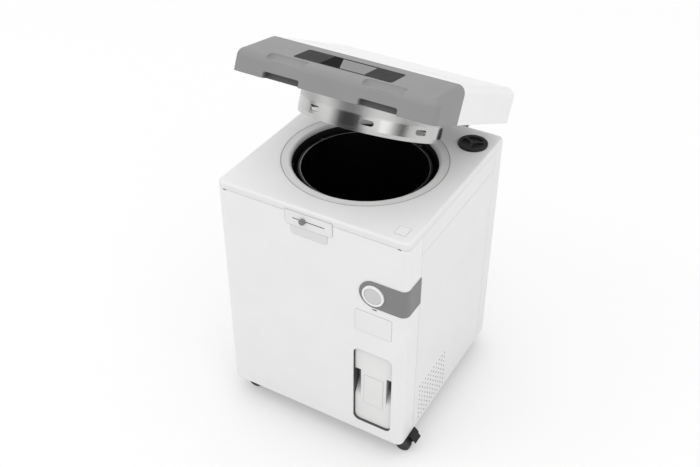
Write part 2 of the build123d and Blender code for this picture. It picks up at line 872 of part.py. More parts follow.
# Water reservoir: stands in the rear right corner and hangs from the head plate by its neck
with BuildPart() as water_reservoir:
    tank_centre = (
        (reservoir_inner + reservoir_outer_x) / 2,
        (reservoir_inner + reservoir_outer_y) / 2,
    )
    tank_size = (reservoir_outer_x - reservoir_inner, reservoir_outer_y - reservoir_inner)
    with BuildSketch(Plane.XY.offset(reservoir_bottom)):
        with Locations(tank_centre):
            Rectangle(*tank_size)
        Circle(jacket_outer + reservoir_gap, mode=Mode.SUBTRACT)
    extrude(amount=reservoir_top - reservoir_bottom)
    with BuildSketch(Plane.XY.offset(reservoir_top)):
        with Locations((cap_x, cap_y)):
            Circle(neck_shoulder)
    extrude(amount=head_bottom - fit - reservoir_top)
    with BuildSketch(Plane.XY.offset(reservoir_top)):
        with Locations((cap_x, cap_y)):
            Circle(neck_outer)
    extrude(amount=cover_top - reservoir_top)
    with BuildSketch(Plane.XY.offset(reservoir_bottom + reservoir_wall)):
        with Locations(tank_centre):
            Rectangle(tank_size[0] - 2 * reservoir_wall, tank_size[1] - 2 * reservoir_wall)
        Circle(jacket_outer + reservoir_gap + reservoir_wall, mode=Mode.SUBTRACT)
    extrude(amount=reservoir_top - reservoir_bottom - 2 * reservoir_wall, mode=Mode.SUBTRACT)
    with BuildSketch(Plane.XY.offset(cover_top)):
        with Locations((cap_x, cap_y)):
            Circle(neck_outer - neck_tube_wall)
    extrude(amount=-(cover_top - reservoir_top + 2 * reservoir_wall), mode=Mode.SUBTRACT)
pieces["water_reservoir"] = water_reservoir.part

# Filler cap: a spoked cap with its plug
with BuildPart() as filler_cap:
    with BuildSketch(Plane.XY.offset(cover_top + fit)):
        with Locations((cap_x, cap_y)):
            Circle(cap_radius)
    extrude(amount=cap_height)
    chamfer(filler_cap.faces().sort_by(Axis.Z)[-1].edges(), cap_height / 6)
    with BuildSketch(Plane.XY.offset(cover_top + fit + cap_height)):
        with Locations((cap_x, cap_y)):
            Circle(cap_recess_radius)
            Circle(cap_hub_radius, mode=Mode.SUBTRACT)
            with PolarLocations(cap_recess_radius / 2, 3, start_angle=-90):
                Rectangle(cap_recess_radius + 2, cap_spoke_width, mode=Mode.SUBTRACT)
    extrude(amount=-cap_recess_depth, mode=Mode.SUBTRACT)
    with BuildSketch(Plane.XY.offset(cover_top + fit)):
        with Locations((cap_x, cap_y)):
            Circle(plug_radius)
    extrude(amount=-plug_length)
pieces["filler_cap"] = filler_cap.part

# Drain pipe from the dish to the spigot at the back
with BuildPart() as drain_pipe:
    pipe_top = chamber_floor - vessel_wall
    with BuildLine(Plane.YZ):
        drop = Line((0, pipe_top), (0, drain_height + drain_bend))
        bend = JernArc(start=drop @ 1, tangent=drop % 1, radius=drain_bend, arc_size=90)
        Line(bend @ 1, (half_depth + spigot_length, drain_height))
    with BuildSketch(Plane.XY.offset(pipe_top)):
        Circle(pipe_radius)
        Circle(pipe_radius - pipe_wall, mode=Mode.SUBTRACT)
    sweep()
    with BuildSketch(Plane.XZ.offset(-half_depth - spigot_length)):
        with Locations((0, drain_height)):
            Circle(spigot_radius)
            Circle(pipe_radius - pipe_wall, mode=Mode.SUBTRACT)
    extrude(amount=spigot_sleeve)
pieces["drain_pipe"] = drain_pipe.part

# Drain valve: a block on the pipe with its coil on top
with BuildPart() as drain_valve:
    with BuildSketch(Plane.XZ.offset(-drain_valve_y)):
        with Locations((0, drain_height)):
            RectangleRounded(drain_valve_width, drain_valve_width, drain_valve_width / 8)
            Circle(pipe_radius + fit, mode=Mode.SUBTRACT)
    extrude(amount=drain_valve_length / 2, both=True)
    with BuildSketch(Plane.XY.offset(drain_height + drain_valve_width / 2)):
        with Locations((0, drain_valve_y)):
            Circle(solenoid_radius)
    extrude(amount=solenoid_height)
pieces["drain_valve"] = drain_valve.part

# Safety valve on a pipe through the jacket
with BuildPart() as safety_valve:
    safety_x = safety_circle * cos(radians(safety_angle))
    safety_y = safety_circle * sin(radians(safety_angle))
    with BuildSketch(radial_plane(safety_angle, vessel_radius + fit, safety_height)):
        Circle(pipe_radius)
    extrude(amount=safety_circle - vessel_radius - fit)
    with BuildSketch(Plane.XY.offset(safety_height - safety_body / 2)):
        with Locations((safety_x, safety_y)):
            RegularPolygon(safety_flats / 2, 6, major_radius=False)
    extrude(amount=safety_body)
    with BuildSketch(Plane.XY.offset(safety_height + safety_body / 2)):
        with Locations((safety_x, safety_y)):
            Circle(safety_stem_radius)
    extrude(amount=safety_stem)
pieces["safety_valve"] = safety_valve.part

# Control box standing on the tray behind the front panel
with BuildPart() as control_box:
    with BuildSketch(Plane.XY.offset(tray_height + tray_thickness)):
        with Locations((control_x, control_front + control_depth / 2)):
            RectangleRounded(control_width, control_depth, 2 * sheet)
    extrude(amount=control_height)
pieces["control_box"] = control_box.part

# Cable gland in the rear panel
with BuildPart() as cable_gland:
    gland_plane = Plane.XZ.offset(-half_depth)
    with BuildSketch(gland_plane):
        with Locations((gland_x, gland_height)):
            Circle(gland_radius)
    extrude(amount=gland_length / 2, both=True)
    with BuildSketch(gland_plane):
        with Locations((gland_x, gland_height)):
            RegularPolygon(gland_flats / 2, 6, major_radius=False)
    extrude(amount=-gland_nut)
    with BuildSketch(Plane.XZ.offset(-half_depth - gland_length / 2)):
        with Locations((gland_x, gland_height)):
            Circle(gland_cable_radius)
    extrude(amount=gland_length / 2, mode=Mode.SUBTRACT)
pieces["cable_gland"] = cable_gland.part

# Hinge bracket on the rear panel
ear_inner = arm_inner_x + arm_thickness + arm_gap
ear_outer = ear_inner + ear_thickness
with BuildPart() as hinge_bracket:
    with BuildSketch(rear_face):
        with Locations((0, (bracket_bottom + bracket_top) / 2)):
            RectangleRounded(2 * (ear_outer + bracket_plate), bracket_top - bracket_bottom, 8)
    extrude(amount=-bracket_plate)
    for side in (-1, 1):
        with BuildSketch(Plane.YZ.offset(side * ear_inner)):
            with BuildLine():
                Polyline(
                    (half_depth, bracket_top),
                    (pivot_y, pivot_z + hinge_boss_radius),
                    (pivot_y + hinge_boss_radius * 0.8, pivot_z - hinge_boss_radius * 0.6),
                    (half_depth, bracket_bottom + hinge_boss_radius),
                    close=True,
                )
            make_face()
            with Locations((pivot_y, pivot_z)):
                Circle(hinge_boss_radius)
                Circle(hinge_pin_radius + running_clearance, mode=Mode.SUBTRACT)
        extrude(amount=side * ear_thickness)
pieces["hinge_bracket"] = hinge_bracket.part

# Hinge pin with a head at each end
with BuildPart() as hinge_pin:
    pin_end = ear_outer + fit
    with BuildSketch(Plane.YZ.offset(-pin_end)):
        with Locations((pivot_y, pivot_z)):
            Circle(hinge_pin_radius)
    extrude(amount=2 * pin_end)
    for side in (-1, 1):
        with BuildSketch(Plane.YZ.offset(side * pin_end)):
            with Locations((pivot_y, pivot_z)):
                Circle(hinge_boss_radius * 0.7)
        extrude(amount=side * pin_overhang)
    chamfer(hinge_pin.faces().sort_by(Axis.X)[0].edges(), 1.0)
    chamfer(hinge_pin.faces().sort_by(Axis.X)[-1].edges(), 1.0)
pieces["hinge_pin"] = hinge_pin.part

# Two close-wound springs on the pin, each with a leg to the bracket
spring_bore = hinge_pin_radius + fit
spring_outer = spring_bore + spring_wire
with BuildPart() as hinge_springs:
    with BuildSketch(Plane(origin=(0, pivot_y, pivot_z), x_dir=(1, 0, 0), z_dir=(0, -1, 0))):
        outline = [(spring_inner_x, spring_bore)]
        for turn in range(spring_turns):
            start = spring_inner_x + turn * spring_wire
            outline.append((start, spring_outer - spring_wire / 3))
            outline.append((start + spring_wire / 4, spring_outer))
            outline.append((start + 3 * spring_wire / 4, spring_outer))
        spring_end = spring_inner_x + spring_turns * spring_wire
        outline.append((spring_end, spring_outer - spring_wire / 3))
        outline.append((spring_end, spring_bore))
        with BuildLine():
            Polyline(*outline, close=True)
        make_face()
    revolve(axis=Axis((0, pivot_y, pivot_z), (1, 0, 0)))
    with BuildSketch(Plane.YZ.offset(spring_inner_x)):
        leg_start = half_depth + bracket_plate + fit
        with Locations((leg_start, pivot_z - spring_outer + spring_wire / 2)):
            Rectangle(pivot_y - leg_start, spring_wire, align=(Align.MIN, Align.CENTER))
    extrude(amount=spring_wire)
    mirror(about=Plane.YZ)
pieces["hinge_springs"] = hinge_springs.part

# Caster plates under the tray, with their bolts and kingpins
plate_bottom = tray_height - caster_plate_thickness
with BuildPart() as caster_plates:
    with BuildSketch(Plane.XY.offset(plate_bottom)):
        with GridLocations(2 * caster_x, 2 * caster_y, 2, 2):
            RectangleRounded(caster_plate_length, caster_plate_width, caster_plate_thickness)
    extrude(amount=caster_plate_thickness)
    with BuildSketch(Plane.XY.offset(plate_bottom)):
        with GridLocations(2 * caster_x, 2 * caster_y, 2, 2):
            bolt_spread = (caster_plate_length - 1.4 * bolt_flats, caster_plate_width - 1.4 * bolt_flats)
            with GridLocations(*bolt_spread, 2, 2):
                RegularPolygon(bolt_flats / 2, 6, major_radius=False)
    extrude(amount=-bolt_head)
    with BuildSketch(Plane.XY.offset(plate_bottom)):
        with GridLocations(2 * caster_x, 2 * caster_y, 2, 2):
            Circle(kingpin_radius)
    extrude(amount=-kingpin_length)
pieces["caster_plates"] = caster_plates.part


def caster_fork(swivel_x, swivel_y, trail, with_lug):
    """Swivel boss, hood and web of one caster, with the brake's lug on the front ones."""
    axle_x = swivel_x + trail
    ahead = 1 if trail > 0 else -1
    hood_inner = wheel_radius + hood_clearance
    hood_outer = hood_inner + hood_thickness
    across = wheel_gap + 2 * wheel_width
    middle = Plane.XZ.offset(-swivel_y)
    with BuildPart() as fork:
        with BuildSketch(middle):
            with Locations((axle_x, wheel_radius)):
                Circle(hood_outer)
            with Locations((axle_x, hood_end_height)):
                Rectangle(
                    3 * hood_outer,
                    3 * hood_outer,
                    align=(Align.CENTER, Align.MIN),
                    mode=Mode.INTERSECT,
                )
        extrude(amount=across / 2, both=True)
        with BuildSketch(Plane.XY.offset(fork_boss_bottom)):
            with Locations((swivel_x, swivel_y)):
                Circle(fork_boss_radius)
        extrude(amount=plate_bottom - fit - fork_boss_bottom)
        with BuildSketch(middle):
            with Locations((axle_x, wheel_radius)):
                Circle(hood_inner)
        extrude(amount=across, both=True, mode=Mode.SUBTRACT)
        with BuildSketch(middle):
            with BuildLine():
                Polyline(
                    (swivel_x - ahead * 0.8 * fork_boss_radius, fork_boss_bottom + 2),
                    (axle_x - ahead * 2 * axle_radius, wheel_radius),
                    (axle_x + ahead * 2 * axle_radius, wheel_radius),
                    (axle_x + ahead * 3 * axle_radius, wheel_radius + 0.97 * wheel_radius),
                    (swivel_x + ahead * 0.8 * fork_boss_radius, fork_boss_bottom + 3),
                    close=True,
                )
            make_face()
            with Locations((axle_x, wheel_radius)):
                Circle(2 * axle_radius + 1)
                Circle(axle_radius + running_clearance, mode=Mode.SUBTRACT)
        extrude(amount=fork_width / 2, both=True)
        with BuildSketch(Plane.XY.offset(plate_bottom)):
            with Locations((swivel_x, swivel_y)):
                Circle(kingpin_radius + running_clearance)
        extrude(amount=-(kingpin_length + fit), mode=Mode.SUBTRACT)
        if with_lug:
            lug_x = swivel_x + pedal_pivot_x
            with BuildSketch(middle):
                with BuildLine():
                    Polyline(
                        (lug_x - 8, pedal_pivot_z - 2.4),
                        (lug_x - 2, pedal_pivot_z + 3),
                        (lug_x + 3, pedal_pivot_z - 2),
                        (lug_x + 2, pedal_pivot_z - 10.4),
                        close=True,
                    )
                make_face()
                with Locations((lug_x, pedal_pivot_z)):
                    Circle(pedal_lug_radius)
                    Circle(pedal_pin_radius + running_clearance, mode=Mode.SUBTRACT)
            extrude(amount=pedal_lug_width / 2, both=True)
    return fork.part


def caster_wheels(axle_x, swivel_y):
    """Twin wheels on one axle."""
    inner = wheel_gap / 2
    outer = inner + wheel_width
    with BuildPart() as wheels:
        with BuildSketch(Plane(origin=(axle_x, swivel_y, wheel_radius), x_dir=(0, 1, 0), z_dir=(1, 0, 0))):
            with BuildLine():
                Polyline(
                    (0, 0),
                    (0, axle_radius),
                    (inner, axle_radius),
                    (inner, wheel_radius - 1),
                    (inner + 1, wheel_radius),
                    (outer - wheel_edge, wheel_radius),
                    (outer, wheel_radius - wheel_edge),
                    (outer, wheel_radius - 2 * wheel_edge),
                    (outer - wheel_dish, wheel_radius - 3 * wheel_edge),
                    (outer - wheel_dish, 0),
                    close=True,
                )
            make_face()
        revolve(axis=Axis((axle_x, swivel_y, wheel_radius), (0, 1, 0)))
        mirror(about=Plane.XZ.offset(-swivel_y))
    return wheels.part


def brake_pedal(swivel_x, swivel_y):
    """Pedal plate with two cheeks and the pin between them."""
    lug_x = swivel_x + pedal_pivot_x
    middle = Plane.XZ.offset(-swivel_y)
    inside = pedal_lug_width / 2 + fit
    with BuildPart() as pedal:
        with BuildSketch(middle):
            with Locations((lug_x, pedal_pivot_z)):
                Circle(pedal_lug_radius)
                Rectangle(
                    2 * pedal_lug_radius,
                    pedal_lug_radius + 1.2,
                    align=(Align.CENTER, Align.MIN),
                )
        extrude(amount=inside + pedal_cheek, both=True)
        with BuildSketch(middle):
            with Locations((lug_x, pedal_pivot_z)):
                Rectangle(6 * pedal_lug_radius, 6 * pedal_lug_radius)
        extrude(amount=inside, both=True, mode=Mode.SUBTRACT)
        with BuildSketch(middle):
            with Locations((lug_x, pedal_pivot_z)):
                Circle(pedal_pin_radius)
        extrude(amount=inside + pedal_cheek, both=True)
        with BuildSketch(middle):
            with BuildLine():
                Polyline(
                    (lug_x - 5, pedal_pivot_z + 5.3),
                    (lug_x + 3.2, pedal_pivot_z + 5.3),
                    (lug_x + 20.5, pedal_pivot_z - 11.2),
                    (lug_x + 19.1, pedal_pivot_z - 12.6),
                    (lug_x + 3.9, pedal_pivot_z + 3.9),
                    (lug_x - 5, pedal_pivot_z + 3.9),
                    close=True,
                )
            make_face()
        extrude(amount=pedal_width / 2, both=True)
    return pedal.part


for end, end_y, trail in (("front", -caster_y, caster_trail), ("rear", caster_y, -caster_trail)):
    for hand, hand_x in (("left", -caster_x), ("right", caster_x)):
        fork_name = f"caster_fork_{end}_{hand}"
        pieces[fork_name] = caster_fork(hand_x, end_y, trail, with_lug=end == "front")
        pieces[f"caster_wheels_{end}_{hand}"] = caster_wheels(hand_x + trail, end_y)
        if end == "front":
            pieces[f"brake_pedal_{hand}"] = brake_pedal(hand_x, end_y)


def lid_form(inset):
    """The lid's outer form, or the same form drawn in by a wall."""
    slope = radians(console_angle)
    roof_z = lid_top - inset
    front_y = lid_front + inset
    rear_y = lid_rear - inset
    seam_y = lid_seam + inset * tan(slope / 2)
    with BuildPart() as form:
        with BuildSketch(on_lid(Plane.YZ.offset(inset - half_width))):
            with BuildLine():
                Polyline(
                    (front_y, lid_base_z),
                    (front_y, roof_z - (seam_y - front_y) * tan(slope)),
                    (seam_y, roof_z),
                    (rear_y, roof_z),
                    (rear_y, lid_base_z),
                    close=True,
                )
            make_face()
        extrude(amount=lid_width - 2 * inset)
        fillet(form.edges().filter_by(lid_up).sort_by(lid_back)[:2], lid_front_corner - inset)
        fillet(form.edges().filter_by(lid_up).sort_by(lid_back)[-2:], lid_rear_corner - inset)
        roof = form.faces().sort_by(lid_up)[-2:]
        crease = roof.edges().filter_by(Axis.X).sort_by(lid_back)[1:-1]
        fillet(roof.edges() - crease, lid_edge_radius - inset)
    return form.part


def grip_pockets(grown):
    """The four grips in the lid's front, each grown by a wall where one is wanted."""
    with BuildPart() as pockets:
        with BuildSketch(on_lid(Plane.XZ.offset(-lid_front + lid_wall))) as notches:
            with Locations((-grip_centre, lid_base_z), (grip_centre, lid_base_z)):
                Rectangle(
                    notch_width + 2 * grown,
                    2 * (notch_height + grown),
                )
            fillet(notches.vertices(), notch_height / 3)
        extrude(amount=-(notch_depth + lid_wall + grown))
        for side in (-1, 1):
            with BuildSketch(on_lid(Plane.XY.offset(scoop_centre_z))):
                with Locations((side * grip_centre, scoop_centre_y)):
                    SlotOverall(scoop_length + 2 * grown, 2 * (scoop_radius + grown))
                    Rectangle(
                        scoop_length + 2 * grown,
                        scoop_radius + grown,
                        align=(Align.CENTER, Align.MIN),
                        mode=Mode.INTERSECT,
                    )
            scoop_line = on_lid(Plane(origin=(0, scoop_centre_y, scoop_centre_z)))
            revolve(axis=Axis(scoop_line.origin, (1, 0, 0)))
    return pockets.part


# Lid covers: one thin shell, parted at the seam
console_y = display_rear - display_length * cos(radians(console_angle)) / 2
console_plane = on_lid(
    Plane(
        origin=(0, console_y, lid_top - (lid_seam - console_y) * tan(radians(console_angle))),
        x_dir=(1, 0, 0),
        z_dir=(0, -sin(radians(console_angle)), cos(radians(console_angle))),
    )
)
lid_outer = lid_form(0)
lid_hollow = lid_form(lid_wall) - grip_pockets(lid_wall)
lid_pockets = grip_pockets(0)
with BuildPart() as lid_front_cover:
    add(lid_outer)
    add(lid_hollow, mode=Mode.SUBTRACT)
    add(lid_pockets, mode=Mode.SUBTRACT)
    with BuildSketch(console_plane):
        RectangleRounded(display_width + 2 * fit, display_length + 2 * fit, display_corner)
    extrude(amount=-(display_thickness - display_proud), mode=Mode.SUBTRACT)
    split(bisect_by=on_lid(Plane.XZ.offset(-lid_seam + fit)), keep=Keep.TOP)
pieces["lid_front_cover"] = lid_front_cover.part

with BuildPart() as lid_rear_cover:
    add(lid_outer)
    add(lid_hollow, mode=Mode.SUBTRACT)
    split(bisect_by=on_lid(Plane.XZ.offset(-lid_seam)), keep=Keep.BOTTOM)
    with BuildSketch(on_lid(Plane.XY.offset(lid_top))):
        for side in (-1, 1):
            for index in range(groove_count):
                with Locations((side * (groove_first + index * groove_pitch), groove_centre_y)):
                    SlotOverall(groove_length, groove_width, rotation=90)
    extrude(amount=-groove_depth, mode=Mode.SUBTRACT)
    with BuildSketch(on_lid(Plane.XZ.offset(-lid_rear - 1))):
        for side in (-1, 1):
            with Locations((side * (arm_inner_x + arm_thickness / 2), lid_base_z + arm_slot_height / 2)):
                Rectangle(arm_thickness + 2 * arm_gap, arm_slot_height)
    extrude(amount=2 * lid_wall, mode=Mode.SUBTRACT)
pieces["lid_rear_cover"] = lid_rear_cover.part

# Lid base: the plate that closes the covers, with the two hinge arms
with BuildPart() as lid_base:
    base_inset = lid_wall + fit
    with BuildSketch(on_lid(Plane.XY.offset(lid_base_z))) as base_outline:
        with Locations((0, (lid_front + lid_rear) / 2)):
            Rectangle(lid_width - 2 * base_inset, lid_rear - lid_front - 2 * base_inset)
        fillet(base_outline.vertices().group_by(Axis.Y)[0], lid_front_corner - base_inset)
        fillet(base_outline.vertices().group_by(Axis.Y)[-1], lid_rear_corner - base_inset)
        with Locations((-grip_centre, lid_front), (grip_centre, lid_front)):
            Rectangle(
                notch_width + 2 * base_inset,
                2 * (notch_depth + base_inset),
                mode=Mode.SUBTRACT,
            )
    extrude(amount=lid_base_thickness)
    for side in (-1, 1):
        with BuildSketch(on_lid(Plane.YZ.offset(side * arm_inner_x))):
            with BuildLine():
                Polyline(
                    (arm_front_y, lid_base_z + lid_base_thickness),
                    (arm_top_y, arm_top_z),
                    (pivot_y + hinge_boss_radius / 2, pivot_z + 0.87 * hinge_boss_radius),
                    (pivot_y - 0.87 * hinge_boss_radius, pivot_z - hinge_boss_radius / 2),
                    (lid_rear + lid_wall, lid_base_z + 1),
                    (arm_front_y, lid_base_z + 1),
                    close=True,
                )
            make_face()
            with Locations((pivot_y, pivot_z)):
                Circle(hinge_boss_radius)
                Circle(hinge_pin_radius + running_clearance, mode=Mode.SUBTRACT)
        extrude(amount=side * arm_thickness)
pieces["lid_base"] = lid_base.part

# Pressure lid on its spindle
lid_axis = Axis(on_lid(Plane.XY).origin, on_lid(Plane.XY).z_dir)
with BuildPart() as pressure_lid:
    seal_top = rim_top + fit + gasket_height
    disc_radius = ring_radius - ring_wall - pressure_lid_clearance
    with BuildSketch(on_lid(Plane.XY.offset(seal_top))):
        Circle(disc_radius)
    extrude(amount=pressure_lid_thickness)
    chamfer(pressure_lid.faces().sort_by(lid_up)[-1].edges(), pressure_lid_thickness / 5)
    with BuildSketch(on_lid(Plane.XY.offset(seal_top))):
        Circle(spindle_radius)
    extrude(amount=lid_base_z - seal_top)
pieces["pressure_lid"] = pressure_lid.part

# Gasket under the pressure lid
with BuildPart() as lid_gasket:
    with BuildSketch(on_lid(Plane.XY.offset(rim_top + fit))):
        Circle(neck_radius)
        Circle(neck_radius - gasket_width, mode=Mode.SUBTRACT)
    extrude(amount=gasket_height)
pieces["lid_gasket"] = lid_gasket.part

# Steel ring under the lid, slotted for the lock pins
with BuildPart() as lid_lock_ring:
    ring_bottom = lid_base_z - lid_gap - ring_drop
    with BuildSketch(on_lid(Plane.XZ)):
        with BuildLine():
            Polyline(
                (ring_radius - ring_wall, lid_base_z),
                (ring_radius, lid_base_z),
                (ring_radius, ring_bottom + ring_taper_height),
                (ring_radius - ring_taper, ring_bottom),
                (ring_radius - ring_wall - ring_taper, ring_bottom),
                (ring_radius - ring_wall, ring_bottom + ring_taper_height),
                close=True,
            )
        make_face()
    revolve(axis=lid_axis)
    for angle in slot_angles:
        with BuildSketch(on_lid(radial_plane(angle, ring_radius + ring_wall, slot_z))):
            SlotOverall(slot_length, slot_width)
        extrude(amount=-3 * ring_wall, mode=Mode.SUBTRACT)
pieces["lid_lock_ring"] = lid_lock_ring.part

# Keypad panel and screen on the console
with BuildPart() as keypad_panel:
    with BuildSketch(console_plane.offset(display_proud + fit - display_thickness)):
        RectangleRounded(display_width, display_length, display_corner)
        Rectangle(
            screen_width + 2 * fit,
            display_length - 2 * screen_border + 2 * fit,
            mode=Mode.SUBTRACT,
        )
    extrude(amount=display_thickness - fit)
pieces["keypad_panel"] = keypad_panel.part

with BuildPart() as display_screen:
    with BuildSketch(console_plane):
        Rectangle(screen_width, display_length - 2 * screen_border)
    extrude(amount=-(display_thickness - display_proud - fit))
pieces["display_screen"] = display_screen.part

for name, piece in pieces.items():
    piece.label = name
    export_step(piece, f"parts/{name}.step")
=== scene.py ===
from math import cos, pi, radians, sin

import bmesh
import bpy
from mathutils import Matrix, Vector


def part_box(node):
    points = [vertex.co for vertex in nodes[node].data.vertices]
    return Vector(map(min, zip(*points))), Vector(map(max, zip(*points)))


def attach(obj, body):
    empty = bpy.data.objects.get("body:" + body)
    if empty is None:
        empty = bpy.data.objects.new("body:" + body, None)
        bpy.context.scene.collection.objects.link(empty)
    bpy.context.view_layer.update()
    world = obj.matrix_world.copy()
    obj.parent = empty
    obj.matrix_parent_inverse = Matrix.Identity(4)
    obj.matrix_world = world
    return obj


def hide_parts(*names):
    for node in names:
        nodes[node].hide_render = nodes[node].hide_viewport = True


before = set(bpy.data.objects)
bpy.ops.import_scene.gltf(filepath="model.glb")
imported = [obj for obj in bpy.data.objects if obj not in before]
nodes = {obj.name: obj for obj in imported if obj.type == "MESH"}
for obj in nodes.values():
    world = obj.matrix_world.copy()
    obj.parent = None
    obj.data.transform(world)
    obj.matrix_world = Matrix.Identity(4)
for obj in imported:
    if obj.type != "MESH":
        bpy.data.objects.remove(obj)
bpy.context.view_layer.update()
scene = bpy.context.scene

# Camera: the photograph's viewing angle
CAMERA_AZIMUTH = radians(30.056)
CAMERA_ELEVATION = radians(36.772)
CAMERA_PLACE = Vector((1.15831, -2.09027, 2.33038))
camera_data = bpy.data.cameras.new("camera")
camera_data.sensor_width = 36.0
camera_data.lens = 50.0
camera_data.clip_end = 60.0
camera = bpy.data.objects.new("camera", camera_data)
scene.collection.objects.link(camera)
look = Vector(
    (
        -sin(CAMERA_AZIMUTH) * cos(CAMERA_ELEVATION),
        cos(CAMERA_AZIMUTH) * cos(CAMERA_ELEVATION),
        -sin(CAMERA_ELEVATION),
    )
)
camera.location = CAMERA_PLACE
camera.rotation_euler = look.to_track_quat("-Z", "Y").to_euler()
scene.camera = camera
scene.view_settings.view_transform = "Standard"

# The open lid's own frame
PIVOT = Vector((0.0, 0.380, 0.792))
LID_ANGLE = radians(-26.0)
lid_turn = (
    Matrix.Translation(PIVOT)
    @ Matrix.Rotation(LID_ANGLE, 4, "X")
    @ Matrix.Translation(-PIVOT)
)


class Nodes:
    """A short hand for one material's or world's node tree."""

    def __init__(self, tree):
        self.tree = tree

    def add(self, kind, inputs=None, **settings):
        node = self.tree.nodes.new("ShaderNode" + kind)
        for name, value in settings.items():
            setattr(node, name, value)
        for key, value in (inputs or {}).items():
            if isinstance(value, bpy.types.NodeSocket):
                self.tree.links.new(value, node.inputs[key])
            else:
                node.inputs[key].default_value = value
        return node

    def math(self, operation, first, second=0.0, third=0.0):
        made = self.add("Math", {0: first, 1: second, 2: third}, operation=operation)
        return made.outputs[0]

    def away(self, value, centre):
        """How far value is from centre."""
        return self.math("ABSOLUTE", self.math("SUBTRACT", value, centre))

    def axes(self, where):
        """The three coordinates of where, by their letters."""
        return self.add("SeparateXYZ", {0: where}).outputs

    def remap(self, value, low, high, start=0.0, end=1.0):
        """value runs from start to end, and comes out from low to high."""
        ends = {"From Min": start, "From Max": end, "To Min": low, "To Max": high}
        made = self.add("MapRange", {"Value": value, **ends})
        return made.outputs["Result"]

    def tones(self, factor, dark, light):
        made = self.add("Mix", {"Factor": factor}, data_type="RGBA")
        made.inputs["A"].default_value = (*dark, 1.0)
        made.inputs["B"].default_value = (*light, 1.0)
        return made.outputs["Result"]

    def noise(self, where, scale, detail=2.0, roughness=0.5):
        made = self.add(
            "TexNoise",
            {"Vector": where, "Scale": scale, "Detail": detail, "Roughness": roughness},
        )
        return made.outputs["Fac"]

    def place(self):
        """Coordinates in metres, in the object's own frame."""
        return self.add("TexCoord").outputs["Object"]

    def closed_place(self):
        """The same for a piece of the lid, as if the lid were closed."""
        back = lid_turn.inverted()
        turned = {"Location": back.to_translation(), "Rotation": back.to_euler()}
        made = self.add("Mapping", {"Vector": self.place(), **turned}, vector_type="POINT")
        return made.outputs[0]

    def bump(self, height, strength, distance, edge=0.0):
        """Bump over an edge that is eased by the radius edge."""
        made = self.add("Bump", {"Height": height, "Strength": strength, "Distance": distance})
        if edge:
            eased = self.add("Bevel", {"Radius": edge}, samples=4)
            self.tree.links.new(eased.outputs[0], made.inputs["Normal"])
        return made.outputs[0]


def shades(color, spread):
    """A slightly darker and a slightly lighter tone of a colour."""
    return [c * (1 - spread) for c in color], [min(c * (1 + spread), 1.0) for c in color]


def material(name):
    made = bpy.data.materials.new(name)
    made.use_nodes = True
    made.node_tree.nodes.clear()
    return made, Nodes(made.node_tree)


def overlay(made, color, factor_of):
    """Lay a colour over a coated material's own, by the factor that factor_of builds."""
    n = Nodes(made.node_tree)
    shader = next(node for node in n.tree.nodes if node.type == "BSDF_PRINCIPLED")
    before = shader.inputs["Base Color"].links[0].from_socket
    mix = n.add("Mix", {"Factor": factor_of(n)}, data_type="RGBA")
    n.tree.links.new(before, mix.inputs["A"])
    mix.inputs["B"].default_value = (*color, 1.0)
    n.tree.links.new(mix.outputs["Result"], shader.inputs["Base Color"])


def finish(nodes_of, shader):
    out = nodes_of.add("OutputMaterial")
    nodes_of.tree.links.new(shader.outputs[0], out.inputs["Surface"])


def coated(name, color, roughness, grain, grain_depth, spread=0.02, edge=0.0006, specular=0.5, ior=1.5):
    """Paint or moulded plastic: a faint cloudiness, a fine skin grain and eased edges."""
    made, n = material(name)
    where = n.place()
    cloud = n.noise(where, 9.0, 3.0)
    fine = n.noise(where, grain, 2.0, 0.6)
    dark, light = shades(color, spread)
    shader = n.add(
        "BsdfPrincipled",
        {
            "Base Color": n.tones(n.remap(cloud, 0.0, 1.0, 0.3, 0.7), dark, light),
            "Roughness": n.remap(
                n.noise(where, 40.0, 4.0), roughness - 0.03, roughness + 0.03, 0.3, 0.7
            ),
            "Normal": n.bump(fine, 0.35, grain_depth, edge),
            "Specular IOR Level": specular,
            "IOR": ior,
        },
    )
    finish(n, shader)
    return made


def painted_border_shadow_line(made, field, width, grey):
    """Paint a thin shadow line just inside a raised field's rectangular border into a coated material's
    colour.
    """
    letters, centre, half = field

    def factor(n):
        where = n.axes(n.place())
        reach = [
            n.math("SUBTRACT", n.away(where[letter], middle), size)
            for letter, middle, size in zip(letters, centre, half)
        ]
        outside = n.math("MAXIMUM", reach[0], reach[1])
        return n.math(
            "MULTIPLY",
            n.remap(outside, 0.0, 1.0, -width * 1.25, -width * 0.75),
            n.remap(outside, 1.0, 0.0, 0.0, width * 0.25),
        )

    overlay(made, (grey, grey, grey), factor)


def painted_ring_shade_and_highlight(made, radius, width, grey, above=0.0):
    """Paint a soft ring round the chamber's axis into a coated material's colour: painted shade where
    the grey is dark, a painted highlight where it is light.
    """

    def factor(n):
        where = n.axes(n.place())
        flat = n.add("CombineXYZ", {"X": where["X"], "Y": where["Y"]})
        length = n.add("VectorMath", {0: flat.outputs[0]}, operation="LENGTH").outputs["Value"]
        near = n.remap(n.away(length, radius), 1.0, 0.0, width * 0.3, width)
        return n.math("MULTIPLY", near, n.math("GREATER_THAN", where["Z"], above))

    overlay(made, (grey, grey, grey), factor)


def tank_pocket_painted_shade(n):
    """Painted shade: 1 deep in the waste tank's hand pockets, and 0 on the rest of it."""
    low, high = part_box("waste_tank")
    centre, half = (low[0] + high[0]) / 2, (high[0] - low[0]) / 2
    where = n.axes(n.place())
    inner = n.math("LESS_THAN", n.away(where["X"], centre), half - POCKET_SKIN)
    level = n.math("LESS_THAN", n.away(where["Z"], POCKET_Z), POCKET_HALF)
    near = n.math("LESS_THAN", where["Y"], POCKET_BACK)
    within = n.math("MULTIPLY", n.math("MULTIPLY", inner, level), near)
    return n.math("MULTIPLY", n.remap(where["Y"], 0.0, 1.0, *POCKET_SHADE), within)


